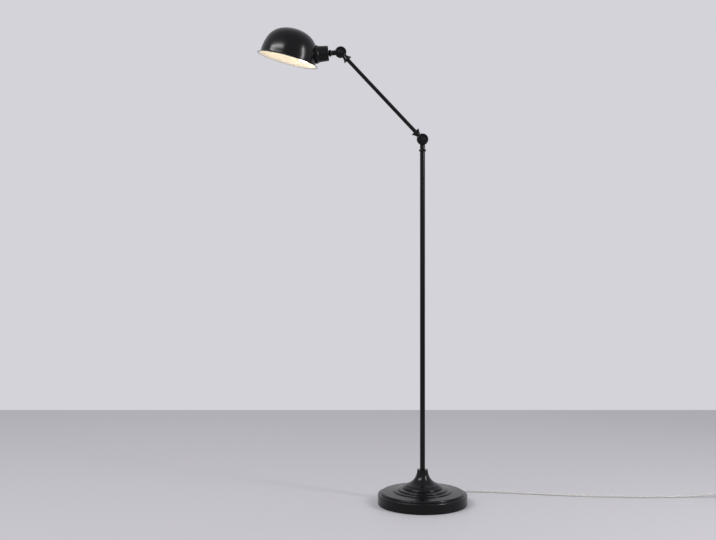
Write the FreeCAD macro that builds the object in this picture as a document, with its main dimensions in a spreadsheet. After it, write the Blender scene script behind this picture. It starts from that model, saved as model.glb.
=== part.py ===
import FreeCAD, Part
import math
import os
import types

import Sketcher

# Bridge floor lamp, millimetres, +Z up. The origin is the centre of the base on the floor.
# The arm leans towards -X, the front of the lamp looks towards -Y, and the shade hangs at the
# arm's far end. Every size below is a cell of the sheet, and every piece follows the cells.

SIZES = {
    # weighted base
    "base_radius": 140.0,
    "cover_sheet": 1.5,
    "floor_clearance": 1.0,
    "rim_height": 32.5,
    "rim_round": 3.5,
    "rim_land": 9.0,
    "plate_rise": 6.0,
    "plate_crown": 1.8,
    "tier_radius": 92.0,
    "tier_rise": 2.7,
    "tier_crown": 1.3,
    "bead_radius": 79.0,
    "bead_rise": 3.7,
    "bead_crown": 2.0,
    "step_radius": 63.5,
    "step_rise": 6.2,
    "step_crown": 5.3,
    "edge_land": 0.3,
    "flare_foot_radius": 50.5,
    "flare_ease": 3.8213,
    "cone_top_radius": 16.9,
    "cover_height": 104.0,
    "pad_thickness": 2.5,
    "pad_clearance": 0.5,
    "weight_gap": 10.5,
    "weight_thickness": 15.5,
    "weight_chamfer": 1.5,
    "counterbore_radius": 14.0,
    "counterbore_depth": 9.0,
    "slot_width": 9.0,
    "slot_depth": 12.0,
    "slot_start": 32.0,
    "neck_ring_height": 4.0,
    "neck_ring_spigot": 6.0,
    # foot bolt
    "foot_bolt_radius": 5.0,
    "foot_head_radius": 9.8,
    "foot_head_height": 6.3,
    "foot_bolt_grip": 24.0,
    "foot_washer_radius": 12.5,
    "foot_washer_thickness": 2.0,
    # pole
    "pole_radius": 8.0,
    "pole_wall": 1.5,
    "elbow_drop": 39.0,
    "foot_insert_length": 26.0,
    "top_bush_length": 25.0,
    "cable_hole_radius": 3.6,
    "collar_radius": 11.5,
    "collar_height": 8.5,
    # fits
    "running_clearance": 0.05,
    "body_gap": 0.3,
    "seat_clearance": 0.1,
    # swivel stem on both neck knuckles
    "stem_radius": 5.0,
    "cable_bore": 3.0,
    "clip_length": 4.0,
    "clip_wall_gap": 0.4,
    # knuckle halves
    "elbow_height": 1143.0,
    "disc_radius": 18.2,
    "disc_face": 4.8,
    "disc_split": 0.5,
    "disc_edge": 1.2,
    "disc_shoulder": 3.9,
    "disc_rim_width": 6.6,
    "disc_rim_sweep": 3.7,
    "recess_inner": 6.5,
    "recess_outer": 13.0,
    "recess_depth": 2.0,
    "boss_radius": 6.8,
    "boss_face": 7.0,
    "swing_clearance": 0.6,
    "rib_radius": 6.5,
    "neck_radius": 8.0,
    "neck_start": 17.0,
    "bell_start": 10.0,
    "bell_radius": 14.0,
    "bell_reach": 31.0,
    "bell_sweep": 33.0,
    "bell_flange": 3.0,
    "bell_edge": 0.8,
    "tube_socket_depth": 12.0,
    # pivot bolts
    "pivot_radius": 3.0,
    "bolt_head_radius": 5.5,
    "bolt_head_height": 2.7,
    "bolt_key_radius": 2.3,
    "bolt_key_depth": 1.5,
    "washer_thickness": 1.0,
    "friction_inner": 13.4,
    "friction_outer": 17.6,
    "spring_washer_thickness": 0.8,
    "nut_radius": 5.9,
    "nut_height": 3.2,
    "nut_dome": 4.2,
    # arm
    "arm_length": 375.0,
    "arm_lean": 43.24,
    "arm_tube_radius": 6.0,
    "arm_tube_wall": 1.0,
    # head, measured from the head pivot along the head's axis
    "head_dip": 5.1,
    "head_shoulder": 27.7,
    "head_collar_radius": 11.0,
    "head_collar_height": 10.0,
    "head_stem_reach": 19.0,
    "neck_nut_radius": 8.5,
    "neck_nut_height": 4.5,
    "neck_washer_radius": 9.5,
    "cup_length": 28.8,
    "cup_back_radius": 23.85,
    "cup_front_radius": 25.5,
    "cup_wall": 1.2,
    "cup_floor": 2.0,
    "cup_round": 2.0,
    "gallery_radius": 29.3,
    "gallery_length": 8.2,
    "gallery_web": 2.0,
    "gallery_wall": 1.7,
    "gallery_sweep": 9.0,
    "gallery_trim": 12.0,
    # lampholder and bulb
    "holder_radius": 19.5,
    "holder_bore": 14.6,
    "holder_floor": 6.0,
    "holder_back": 12.0,
    "holder_front": 50.0,
    "holder_shoulder": 3.0,
    "sleeve_radius": 14.3,
    "sleeve_wall": 0.6,
    "sleeve_start": 2.0,
    "contact_radius": 4.5,
    "contact_thickness": 0.5,
    "cap_radius": 13.1,
    "cap_length": 27.0,
    "cap_tip_radius": 4.5,
    "cap_shell": 0.8,
    "cap_insulator": 4.0,
    "globe_radius": 22.5,
    "globe_glass": 0.8,
    "globe_neck_radius": 12.9,
    "globe_tangent": 42.0,
    "bulb_length": 78.0,
    "shade_ring_radius": 25.0,
    "shade_ring_front": 11.0,
    # shade
    "crown_sweep": 112.4,
    "crown_angle": 23.6,
    "haunch_sweep": 65.7,
    "haunch_angle": 68.96,
    "dome_height": 101.0,
    "shade_wall": 1.0,
    "lip_flare": 6.0,
    "lip_land": 1.9,
    "shade_cant": 19.9,
    "seat_height": 41.2,
    # leads
    "cord_radius": 3.0,
    "lead_radius": 2.5,
    "cord_azimuth": 45.0,
    "cord_height": 9.5,
    "lead_bend": 15.0,
    "lead_rise_start": 48.0,
    "lead_rise_top": 66.0,
    "grommet_hole": 5.0,
    "grommet_flange": 7.5,
    "grommet_flange_thickness": 2.0,
    "grommet_inside": 6.0,
    "relief_length": 25.0,
    "relief_tip_radius": 3.7,
    "coil_pitch": 6.8,
    "coil_radius": 41.5,
    "coil_tuck": 0.8,
    # foot switch
    "switch_length": 64.0,
    "switch_width": 30.0,
    "switch_corner": 9.0,
    "tray_height": 10.0,
    "lid_height": 11.0,
    "switch_wall": 1.8,
    "lid_round": 3.0,
    "sleeve_length": 14.0,
    "sleeve_root_radius": 5.6,
    "sleeve_tip_radius": 3.8,
    "button_radius": 10.0,
    "button_proud": 3.0,
    "button_flange": 1.6,
    "button_flange_thickness": 1.5,
    "button_round": 1.5,
    "block_length": 26.0,
    "block_width": 18.0,
    "block_height": 10.0,
    "spring_radius": 5.0,
    "spring_wall": 0.8,
    "screw_radius": 1.5,
    "screw_head_radius": 2.8,
    "screw_head_height": 1.6,
    "screw_length": 8.0,
    "screw_spacing": 50.0,
    # plug
    "plug_thickness": 13.7,
    "plug_half_width": 17.6,
    "plug_face_half_width": 13.2,
    "plug_tail_half_width": 6.5,
    "plug_nose": 6.0,
    "plug_shoulder": 16.0,
    "plug_length": 35.5,
    "plug_edge": 2.0,
    "plug_boot_length": 14.0,
    "plug_boot_root": 5.4,
    "plug_boot_tip": 3.8,
    "pin_radius": 2.0,
    "pin_length": 19.0,
    "pin_spacing": 18.6,
    "pin_root": 9.0,
    "pin_root_radius": 1.5,
    "pin_round": 0.8,
}

# Where the free leads run, chosen by hand: out of the base at the back, down to the floor,
# along it to the foot switch, then into the put-away coil and on to the plug.
POWER_CORD_POINTS = [
    (116.67, 116.67, 9.5),
    (133.0, 133.0, 9.5),
    (157.0, 147.0, 6.2),
    (195.0, 151.0, 3.1),
    (245.0, 143.5, 3.0),
    (300.0, 131.5, 3.0),
    (360.0, 121.0, 3.0),
    (420.0, 107.5, 3.0),
    (480.0, 96.5, 3.0),
    (545.0, 86.0, 3.0),
    (620.0, 81.0, 3.0),
    (700.0, 74.5, 3.0),
    (775.0, 76.0, 3.0),
    (840.0, 81.5, 3.0),
    (882.0, 82.3, 3.3),
    (914.0, 80.9, 7.2),
    (934.0, 80.0, 10.0),
    (950.0, 80.0, 10.0),
]
PLUG_LEAD_POINTS = [
    (1042.0, 80.0, 10.0),
    (1056.0, 80.0, 10.0),
    (1069.0, 74.6, 8.0),
    (1078.9, 64.7, 6.0),
    (1084.3, 51.8, 4.2),
    (1086.2, 35.0, 3.2),
    (1085.3, 16.7, 3.0),
    (1081.64, 3.06, 3.0),
]
COIL_CENTRE = (1040.0, 8.0)
COIL_START_ANGLE = -15.0
COIL_LAYER_ONE_HALVES = 5
COIL_LAYER_TWO_HALVES = 4
PLUG_TAIL_POINTS = [
    (1075.25, -7.66, 9.8),
    (1072.2, -19.3, 9.8),
    (1064.9, -30.1, 8.6),
    (1054.5, -37.9, 7.5),
    (1042.1, -42.1, 6.9),
    (1024.0, -44.4, 6.85),
    (1006.0, -45.0, 6.85),
    (989.5, -45.0, 6.85),
]
SWITCH_CENTRE = (996.0, 80.0)
PLUG_FACE = (940.0, -45.0)


class Size:
    """A length or an angle that keeps its number and the sheet formula behind it."""

    def __init__(self, value, formula):
        self.value = float(value)
        self.formula = formula

    def __add__(self, other):
        return Size(self.value + number(other), f"({self.formula} + {formula(other)})")

    def __radd__(self, other):
        return as_size(other) + self

    def __sub__(self, other):
        return Size(self.value - number(other), f"({self.formula} - {formula(other)})")

    def __rsub__(self, other):
        return as_size(other) - self

    def __mul__(self, other):
        return Size(self.value * number(other), f"({self.formula} * {formula(other)})")

    def __rmul__(self, other):
        return as_size(other) * self

    def __truediv__(self, other):
        return Size(self.value / number(other), f"({self.formula} / {formula(other)})")

    def __neg__(self):
        return as_size(0) - self


def number(item):
    return item.value if isinstance(item, Size) else float(item)


def formula(item):
    return item.formula if isinstance(item, Size) else f"({float(item)})"


def as_size(item):
    return item if isinstance(item, Size) else Size(item, formula(item))


def sine(angle):
    return Size(math.sin(math.radians(number(angle))), f"sin({formula(angle)})")


def cosine(angle):
    return Size(math.cos(math.radians(number(angle))), f"cos({formula(angle)})")


def slope(across, along):
    """The angle between a slanted line and the direction that it mostly follows."""
    degrees = math.degrees(math.atan2(number(across), number(along)))
    return Size(degrees, f"(atan2({formula(across)}; {formula(along)}) / 1 deg)")


def root(square):
    return Size(math.sqrt(number(square)), f"sqrt({formula(square)})")


doc = FreeCAD.newDocument("bridge_floor_lamp")
sheet = doc.addObject("Spreadsheet::Sheet", "Sizes")
for row, (alias, value) in enumerate(SIZES.items(), start=1):
    sheet.set(f"A{row}", alias)
    sheet.set(f"B{row}", str(value))
    sheet.setAlias(f"B{row}", alias)
doc.recompute()
s = types.SimpleNamespace(**{alias: Size(value, f"Sizes.{alias}") for alias, value in SIZES.items()})

SUB_PARTS = []
AXES = {"x": "vector(1; 0; 0)", "y": "vector(0; 1; 0)", "z": "vector(0; 0; 1)"}


# --- helpers: places, outlines and the common kinds of piece ---

def bind(thing, **sizes):
    """Ties properties of an object to their formulas."""
    for name, size in sizes.items():
        setattr(thing, name, number(size))
        thing.setExpression(name, formula(size))


def put(thing, x=0, y=0, z=0, axis="z", angle=0, first_axis="x", first_angle=0):
    """Places an object at a point, turned about one main axis after another."""
    point = f"vector({formula(x)}; {formula(y)}; {formula(z)})"
    turn = f"rotation({AXES[axis]}; {formula(angle)})"
    first = f"rotation({AXES[first_axis]}; {formula(first_angle)})"
    thing.setExpression("Placement", f"placement({point}; {turn} * {first})")
    return thing


def frame(x, z, lean):
    """A local frame in the plane of the arm: lean turns its own Z axis from up towards +X."""
    return types.SimpleNamespace(x=as_size(x), z=as_size(z), lean=as_size(lean))


def spot(local, across, along):
    """A point of a local frame, as X and Z of the lamp."""
    x = local.x + across * cosine(local.lean) + along * sine(local.lean)
    z = local.z - across * sine(local.lean) + along * cosine(local.lean)
    return x, z


def place(thing, local, along=0, y=0, tip=0):
    """Places an object in a local frame, with its own Z along the frame's Z or tipped over
    about the frame's X, so that -90 lays it along +Y."""
    x, z = spot(local, as_size(0), as_size(along))
    return put(thing, x, y, z, "y", local.lean, "x", tip)


def keep(label, thing):
    """Names a finished sub-part and notes it for the export."""
    thing.Label = label
    SUB_PARTS.append(thing)
    return thing


def arc_between(start, end, radius):
    """The arc under half a circle from start to end: a positive radius turns to the left."""
    across = (end[0] - start[0], end[1] - start[1])
    chord = math.hypot(*across)
    rise = math.sqrt(max(radius * radius - chord * chord / 4, 0.0)) / chord
    side = 1 if radius > 0 else -1
    centre = FreeCAD.Vector((start[0] + end[0]) / 2 - side * across[1] * rise,
                            (start[1] + end[1]) / 2 + side * across[0] * rise, 0)
    first, last = (start, end) if side > 0 else (end, start)
    angles = [math.atan2(p[1] - centre.y, p[0] - centre.x) for p in (first, last)]
    circle = Part.Circle(centre, FreeCAD.Vector(0, 0, 1), abs(radius))
    end = angles[1] if angles[1] > angles[0] else angles[1] + 2 * math.pi
    return Part.ArcOfCircle(circle, angles[0], end)


def draw(sketch, points):
    """Draws a closed outline. A point is (across, up), or (across, up, radius) where an arc
    leads to it. Both coordinates of each point and each radius are tied to the sheet."""
    ends = [(number(p[0]), number(p[1])) for p in points]
    starts = [ends[-1]] + ends[:-1]
    leads = []
    for point, start, end in zip(points, starts, ends):
        if len(point) == 3:
            radius = number(point[2])
            sketch.addGeometry(arc_between(start, end, radius), False)
            leads.append((1, 2) if radius > 0 else (2, 1))
        else:
            line = Part.LineSegment(FreeCAD.Vector(*start, 0), FreeCAD.Vector(*end, 0))
            sketch.addGeometry(line, False)
            leads.append((1, 2))
    rules = []
    ties = []
    for index, point in enumerate(points):
        follower = (index + 1) % len(points)
        tail = leads[index][1]
        rules.append(Sketcher.Constraint("Coincident", index, tail, follower, leads[follower][0]))
        for kind, axis_line, coordinate in (("DistanceX", -2, point[0]), ("DistanceY", -1, point[1])):
            if isinstance(coordinate, Size):
                ties.append((len(rules), coordinate.formula))
                rules.append(Sketcher.Constraint(kind, index, tail, coordinate.value))
            elif coordinate == 0:
                rules.append(Sketcher.Constraint("PointOnObject", index, tail, axis_line))
            else:
                rules.append(Sketcher.Constraint(kind, index, tail, float(coordinate)))
        if len(point) == 3:
            radius = as_size(point[2])
            ties.append((len(rules), radius.formula if radius.value > 0 else (-radius).formula))
            rules.append(Sketcher.Constraint("Radius", index, abs(radius.value)))
    sketch.addConstraint(rules)
    for index, text in ties:
        sketch.setExpression(f"Constraints[{index}]", text)


def body_with_sketch(label, plane_role, points):
    body = doc.addObject("PartDesign::Body", label)
    sketch = body.newObject("Sketcher::SketchObject", label + "_outline")
    plane = [item for item in body.Origin.OriginFeatures if item.Role == plane_role][0]
    sketch.AttachmentSupport = [(plane, "")]
    sketch.MapMode = "FlatFace"
    draw(sketch, points)
    return body, sketch


def turned(label, points):
    """A piece turned about its own Z axis from an outline of (radius, height) points."""
    body, sketch = body_with_sketch(label, "XZ_Plane", points)
    turn = body.newObject("PartDesign::Revolution", label + "_turn")
    turn.Profile = sketch
    turn.ReferenceAxis = (sketch, ["V_Axis"])
    turn.Angle = 360
    body.Tip = turn
    return body


def padded(label, points, height):
    """A flat piece: an outline in the XY plane raised by its height."""
    body, sketch = body_with_sketch(label, "XY_Plane", points)
    pad = body.newObject("PartDesign::Pad", label + "_pad")
    pad.Profile = sketch
    bind(pad, Length=height)
    body.Tip = pad
    return body


def rounded_edges(body, label, radius, wanted):
    """Rounds those edges of a body that the test picks by their place."""
    doc.recompute()
    last = body.Tip
    names = [f"Edge{i}" for i, edge in enumerate(last.Shape.Edges, start=1) if wanted(edge)]
    fillet = body.newObject("PartDesign::Fillet", label)
    fillet.Base = (last, names)
    bind(fillet, Radius=radius)
    body.Tip = fillet
    return body


def tube(label, outer, inner, length):
    return turned(label, [(outer, 0), (outer, as_size(length)), (inner, as_size(length)), (inner, 0)])


def cylinder(label, radius, height):
    thing = doc.addObject("Part::Cylinder", label)
    bind(thing, Radius=radius, Height=height)
    return thing


def hexagon(label, radius, height):
    thing = doc.addObject("Part::Prism", label)
    thing.Polygon = 6
    bind(thing, Circumradius=radius, Height=height)
    return thing


def block(label, length, width, height):
    thing = doc.addObject("Part::Box", label)
    bind(thing, Length=length, Width=width, Height=height)
    return thing


def fuse(label, *pieces):
    thing = doc.addObject("Part::MultiFuse", label)
    thing.Shapes = list(pieces)
    return thing


def cut(label, base, *tools):
    """Takes the tools away from the base."""
    thing = doc.addObject("Part::Cut", label)
    thing.Base = base
    thing.Tool = tools[0] if len(tools) == 1 else fuse(label + "_tools", *tools)
    return thing


def common(label, base, tool):
    thing = doc.addObject("Part::Common", label)
    thing.Base = base
    thing.Tool = tool
    return thing


# --- derived places ---

weight_top = s.pad_thickness + s.weight_thickness
weight_radius = s.base_radius - s.cover_sheet - s.weight_gap
pole_top = s.elbow_height - s.elbow_drop
bush_bottom = pole_top - s.top_bush_length
collar_top = pole_top + s.collar_height
elbow_shoulder = s.elbow_height - collar_top - s.body_gap
clip_top = bush_bottom - s.body_gap
lower_stem_reach = s.elbow_height - clip_top + s.clip_length
lead_start = s.disc_radius + s.body_gap
pole_bore = s.pole_radius - s.pole_wall
head_x = -(s.arm_length * sine(s.arm_lean))
head_z = s.elbow_height + s.arm_length * cosine(s.arm_lean)

POLE_SIDE = frame(0, s.elbow_height, 180)
ARM = frame(0, s.elbow_height, -s.arm_lean)
ARM_END = frame(head_x, head_z, 180 - s.arm_lean)
HEAD = frame(head_x, head_z, -(90 + s.head_dip))

cup_back = s.head_shoulder + s.body_gap + s.head_collar_height
cup_front = cup_back + s.cup_length
gallery_seat = cup_front + s.gallery_length

# The dome's outline is three arcs that run into each other, and its lip flares out below them.
crown_end = (s.crown_sweep * sine(s.crown_angle),
             s.dome_height - s.crown_sweep * (1 - cosine(s.crown_angle)))
haunch_end = (crown_end[0] + s.haunch_sweep * (sine(s.haunch_angle) - sine(s.crown_angle)),
              crown_end[1] - s.haunch_sweep * (cosine(s.crown_angle) - cosine(s.haunch_angle)))
lip_rise = s.lip_flare + s.shade_wall
side_sweep = (haunch_end[1] - lip_rise) / cosine(s.haunch_angle)
dome_radius = haunch_end[0] + side_sweep * (1 - sine(s.haunch_angle))
rim_radius = dome_radius + s.lip_flare + s.lip_land + s.shade_wall / 2

# The head's axis meets the dome's outside at the seat, which fixes the shade's own frame.
seat_drop = s.seat_height - lip_rise
seat_radius = dome_radius - side_sweep + root(side_sweep * side_sweep - seat_drop * seat_drop)
shade_across = seat_radius * sine(s.shade_cant) - s.seat_height * cosine(s.shade_cant)
shade_along = gallery_seat + s.seat_height * sine(s.shade_cant) + seat_radius * cosine(s.shade_cant)
shade_x, shade_z = spot(HEAD, shade_across, shade_along)
SHADE = frame(shade_x, shade_z, HEAD.lean + 90 + s.shade_cant)


# --- weighted base ---

# Each tier of the spun cover: its radius, its rise, and how far the sheet climbs to the next.
TIERS = [
    (s.base_radius - s.rim_land, s.plate_rise, s.plate_crown),
    (s.tier_radius, s.tier_rise, s.tier_crown),
    (s.bead_radius, s.bead_rise, s.bead_crown),
    (s.step_radius, s.step_rise, s.step_crown),
]


def base_cover():
    inset = s.cover_sheet
    outside = [(s.base_radius, s.floor_clearance),
               (s.base_radius, s.rim_height - s.rim_round),
               (s.base_radius - s.rim_round, s.rim_height, s.rim_round)]
    inside = [(s.base_radius - inset, s.floor_clearance),
              (s.base_radius - inset, s.rim_height - s.rim_round - inset),
              (s.base_radius - inset - s.rim_round, s.rim_height - inset)]
    foot = s.rim_height
    for radius, rise, crown in TIERS:
        bend = rise - s.edge_land
        outside += [(radius, foot),
                    (radius, foot + s.edge_land),
                    (radius - bend, foot + rise, bend)]
        inside += [(radius - inset, foot - inset),
                   (radius - inset - bend, foot + rise - inset)]
        foot = foot + rise + crown
    # the flare ends nearly upright, so its sweep follows from the width and height it spans
    narrowing = s.flare_foot_radius - s.cone_top_radius
    climb = s.cover_height - foot
    sweep = (narrowing * narrowing + climb * climb) / (narrowing * 2) + s.flare_ease
    outside += [(s.flare_foot_radius, foot),
                (s.cone_top_radius, s.cover_height, -sweep)]
    inside += [(s.flare_foot_radius - inset, foot - inset),
               (s.cone_top_radius - inset, s.cover_height, -(sweep + inset))]
    # the inner outline is walked back, so each arc belongs to the point it now leads to
    back = []
    arrived = None
    for point in reversed(inside):
        back.append((point[0], point[1]) if arrived is None else (point[0], point[1], -arrived))
        arrived = point[2] if len(point) == 3 else None
    shell = turned("base_cover_shell", outside + back)
    hole = cylinder("base_cover_hole", s.grommet_hole, s.base_radius)
    put(hole, 0, 0, s.cord_height, "y", 90)
    drill = doc.addObject("Part::Cut", "base_cover_drill")
    drill.Base = hole
    core = cylinder("base_cover_core", s.base_radius / 2, s.base_radius)
    drill.Tool = put(core, 0, 0, -s.base_radius / 2)
    put(drill, 0, 0, 0, "z", s.cord_azimuth)
    keep("base_cover", put(cut("base_cover_node", shell, drill)))


def base_pad():
    radius = s.base_radius - s.cover_sheet - s.pad_clearance
    keep("base_pad", put(cylinder("base_pad_node", radius, s.pad_thickness)))


def base_weight():
    low = s.pad_thickness
    disc = turned("base_weight_disc", [
        (s.foot_bolt_radius + s.seat_clearance, low),
        (weight_radius - s.weight_chamfer, low),
        (weight_radius, low + s.weight_chamfer),
        (weight_radius, weight_top - s.weight_chamfer),
        (weight_radius - s.weight_chamfer, weight_top),
        (s.foot_bolt_radius + s.seat_clearance, weight_top)])
    pocket = cylinder("base_weight_pocket", s.counterbore_radius, s.counterbore_depth + s.pad_thickness)
    slot = block("base_weight_slot", weight_radius, s.slot_width, s.slot_depth + s.pad_thickness)
    put(slot, s.slot_start, -s.slot_width / 2, weight_top - s.slot_depth)
    turned_slot = put(fuse("base_weight_channel", slot, put(
        cylinder("base_weight_slot_end", s.slot_width / 2, s.slot_depth + s.pad_thickness),
        s.slot_start, 0, weight_top - s.slot_depth)), 0, 0, 0, "z", s.cord_azimuth)
    keep("base_weight", put(cut("base_weight_node", disc, pocket, turned_slot)))


def foot_fastening():
    washer_top = s.pad_thickness + s.counterbore_depth
    washer_low = washer_top - s.foot_washer_thickness
    washer = tube("foot_washer_node", s.foot_washer_radius, s.foot_bolt_radius + s.seat_clearance,
                  s.foot_washer_thickness)
    keep("foot_washer", put(washer, 0, 0, washer_low))
    head = put(hexagon("foot_bolt_head", s.foot_head_radius, s.foot_head_height),
               0, 0, washer_low - s.foot_head_height)
    shank = put(cylinder("foot_bolt_shank", s.foot_bolt_radius,
                         weight_top - washer_low + s.foot_bolt_grip), 0, 0, washer_low)
    keep("foot_bolt", put(fuse("foot_bolt_node", head, shank)))
    insert = tube("pole_foot_insert_node", pole_bore, s.foot_bolt_radius, s.foot_insert_length)
    keep("pole_foot_insert", put(insert, 0, 0, weight_top))


def neck_ring():
    spigot = s.cone_top_radius - s.cover_sheet - s.seat_clearance
    bore = s.pole_radius + s.running_clearance
    top = s.cover_height + s.neck_ring_height
    ring = turned("neck_ring_node", [
        (bore, s.cover_height - s.neck_ring_spigot),
        (spigot, s.cover_height - s.neck_ring_spigot),
        (spigot, s.cover_height),
        (s.cone_top_radius, s.cover_height),
        (s.cone_top_radius, top - s.disc_edge),
        (s.cone_top_radius - s.disc_edge, top, s.disc_edge),
        (bore, top)])
    keep("neck_ring", put(ring))


# --- pole ---

def pole():
    shell = put(tube("pole_tube_shell", s.pole_radius, pole_bore, pole_top - weight_top),
                0, 0, weight_top)
    hole = cylinder("pole_tube_hole", s.cable_hole_radius, s.lead_rise_start / 2)
    lean = slope(s.lead_rise_start, s.lead_rise_top - s.cord_height)
    put(hole, 0, 0, 0, "y", 180 - lean)
    turned_hole = put(fuse("pole_tube_drill", hole, put(
        cylinder("pole_tube_drill_start", s.cable_hole_radius / 2, s.cable_hole_radius / 2))),
        0, 0, s.lead_rise_top, "z", s.cord_azimuth)
    keep("pole_tube", put(cut("pole_tube_node", shell, turned_hole)))
    bush = tube("pole_top_bush_node", pole_bore, s.stem_radius + s.running_clearance, s.top_bush_length)
    keep("pole_top_bush", put(bush, 0, 0, bush_bottom))


def bead(label, bore, radius, height):
    """A turned collar whose outside is a full round bead between two narrow lands."""
    land = s.edge_land
    half = height / 2 - land
    return turned(label, [
        (bore, 0),
        (radius - half, 0),
        (radius - half, land),
        (radius, height / 2, half),
        (radius - half, height - land, half),
        (radius - half, as_size(height)),
        (bore, as_size(height))])


# --- knuckle joints ---

def half_disc(label):
    """One half of a knuckle: a rounded rim, a centre boss and room inside for the lead."""
    bore = s.pivot_radius + s.running_clearance
    return turned(label, [
        (bore, s.disc_split),
        (s.recess_inner, s.disc_split),
        (s.recess_inner, s.disc_split + s.recess_depth),
        (s.recess_outer, s.disc_split + s.recess_depth),
        (s.recess_outer, s.disc_split),
        (s.disc_radius, s.disc_split),
        (s.disc_radius, s.disc_shoulder),
        (s.disc_radius - s.disc_rim_width, s.disc_face, s.disc_rim_sweep),
        (s.boss_radius + s.disc_edge, s.disc_face),
        (s.boss_radius, s.disc_face + s.disc_edge, -s.disc_edge),
        (s.boss_radius, s.boss_face),
        (bore, s.boss_face)])


def knuckle(label, local, side, neck_points, lead_reach):
    """A half disc on the rear (side 1) or the front (side -1), run into its neck."""
    disc = put(half_disc(label + "_disc"), 0, 0, 0, "x", -90 * side)
    neck = turned(label + "_neck", neck_points)
    blank = fuse(label + "_blank", disc, neck)
    swing = cylinder(label + "_swing", s.disc_radius + s.swing_clearance, 2 * s.disc_radius)
    put(swing, 0, s.disc_split * side, 0, "x", 90 * side)
    hole = cylinder(label + "_hole", s.pivot_radius + s.running_clearance, 2 * s.disc_radius)
    put(hole, 0, s.disc_radius, 0, "x", 90)
    flat = tube(label + "_flat", s.boss_radius, s.pivot_radius, s.disc_radius)
    put(flat, 0, s.boss_face * side, 0, "x", -90 * side)
    bore = put(cylinder(label + "_bore", s.cable_bore, lead_reach), 0, 0, s.recess_outer)
    keep(label, place(cut(label + "_node", blank, swing, hole, flat, bore), local))


def stem_neck(shoulder, reach):
    """Outline of a neck that ends in a shoulder and a swivel stem."""
    return [(0, 0),
            (s.rib_radius, 0),
            (s.rib_radius, s.bell_start),
            (s.neck_radius, s.neck_start),
            (s.neck_radius, as_size(shoulder)),
            (s.stem_radius, as_size(shoulder)),
            (s.stem_radius, as_size(reach)),
            (0, as_size(reach))]


def bell_neck():
    """Outline of a neck that flares like a bell and takes the arm's tube in its end."""
    end = s.bell_reach + s.bell_flange
    depth = end - s.tube_socket_depth
    socket = s.arm_tube_radius + s.running_clearance
    return [(0, 0),
            (s.rib_radius, 0),
            (s.rib_radius, s.bell_start),
            (s.bell_radius, s.bell_reach, -s.bell_sweep),
            (s.bell_radius, end - s.bell_edge),
            (s.bell_radius - s.bell_edge, end, s.bell_edge),
            (socket, end),
            (socket, depth),
            (0, depth)]


def pivot_bolt(prefix, local):
    """The screw, washers and domed nut that clamp the two halves together."""
    front = s.boss_face + s.body_gap + s.washer_thickness + s.bolt_head_height
    rear = s.boss_face + s.spring_washer_thickness
    shank = front + rear + s.nut_height + s.nut_dome / 2
    screw = turned(prefix + "_bolt_turned", [
        (0, 0),
        (s.bolt_head_radius - s.bell_edge, 0),
        (s.bolt_head_radius, s.bell_edge, s.bell_edge),
        (s.bolt_head_radius, s.bolt_head_height),
        (s.pivot_radius, s.bolt_head_height),
        (s.pivot_radius, shank),
        (0, shank)])
    key = hexagon(prefix + "_bolt_key", s.bolt_key_radius, s.bolt_key_depth)
    bolt = cut(prefix + "_bolt_node", screw, key)
    keep(prefix + "_bolt", place(bolt, local, y=-front, tip=-90))
    washer = tube(prefix + "_washer_node", s.bolt_head_radius, s.pivot_radius, s.washer_thickness)
    keep(prefix + "_washer", place(washer, local, y=s.bolt_head_height - front, tip=-90))
    friction = tube(prefix + "_friction_ring_node", s.friction_outer, s.friction_inner,
                    2 * s.disc_split - s.body_gap)
    keep(prefix + "_friction_ring", place(friction, local, y=s.disc_split, tip=90))
    spring = tube(prefix + "_spring_washer_node", s.bolt_head_radius, s.pivot_radius,
                  s.spring_washer_thickness)
    keep(prefix + "_spring_washer", place(spring, local, y=s.boss_face, tip=-90))
    hexes = hexagon(prefix + "_nut_hex", s.nut_radius, s.nut_height)
    flat = s.nut_radius * cosine(30)
    dome = turned(prefix + "_nut_dome", [
        (0, 0),
        (flat, 0),
        (flat, s.nut_height),
        (0, s.nut_height + s.nut_dome, (flat * flat + s.nut_dome * s.nut_dome) / (2 * s.nut_dome))])
    thread = cylinder(prefix + "_nut_thread", s.pivot_radius, s.nut_height + s.nut_dome / 2)
    nut = cut(prefix + "_nut_node", fuse(prefix + "_nut_body", hexes, dome), thread)
    keep(prefix + "_nut", place(nut, local, y=rear, tip=-90))


def lead(label, local, start, end):
    """A straight stretch of the inner lead inside a piece."""
    keep(label, place(cylinder(label + "_node", s.lead_radius, end - start), local, along=start))


def elbow():
    keep("pole_collar", put(bead("pole_collar_node", s.stem_radius + s.running_clearance,
                                 s.collar_radius, s.collar_height), 0, 0, pole_top))
    knuckle("elbow_knuckle", POLE_SIDE, 1, stem_neck(elbow_shoulder, lower_stem_reach), lower_stem_reach)
    clip = tube("swivel_clip_node", pole_bore - s.clip_wall_gap, s.stem_radius, s.clip_length)
    keep("swivel_clip", put(clip, 0, 0, clip_top - s.clip_length))
    pivot_bolt("elbow", ARM)
    lead("elbow_lead", POLE_SIDE, lead_start, lower_stem_reach)


def arm():
    tube_start = s.bell_reach + s.bell_flange - s.tube_socket_depth
    knuckle("arm_lower_knuckle", ARM, -1, bell_neck(), tube_start)
    knuckle("arm_upper_knuckle", ARM_END, -1, bell_neck(), tube_start)
    rod = tube("arm_tube_node", s.arm_tube_radius, s.arm_tube_radius - s.arm_tube_wall,
               s.arm_length - 2 * tube_start)
    keep("arm_tube", place(rod, ARM, along=tube_start))
    lead("arm_lead", ARM, lead_start, s.arm_length - lead_start)


# --- head ---

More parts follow.
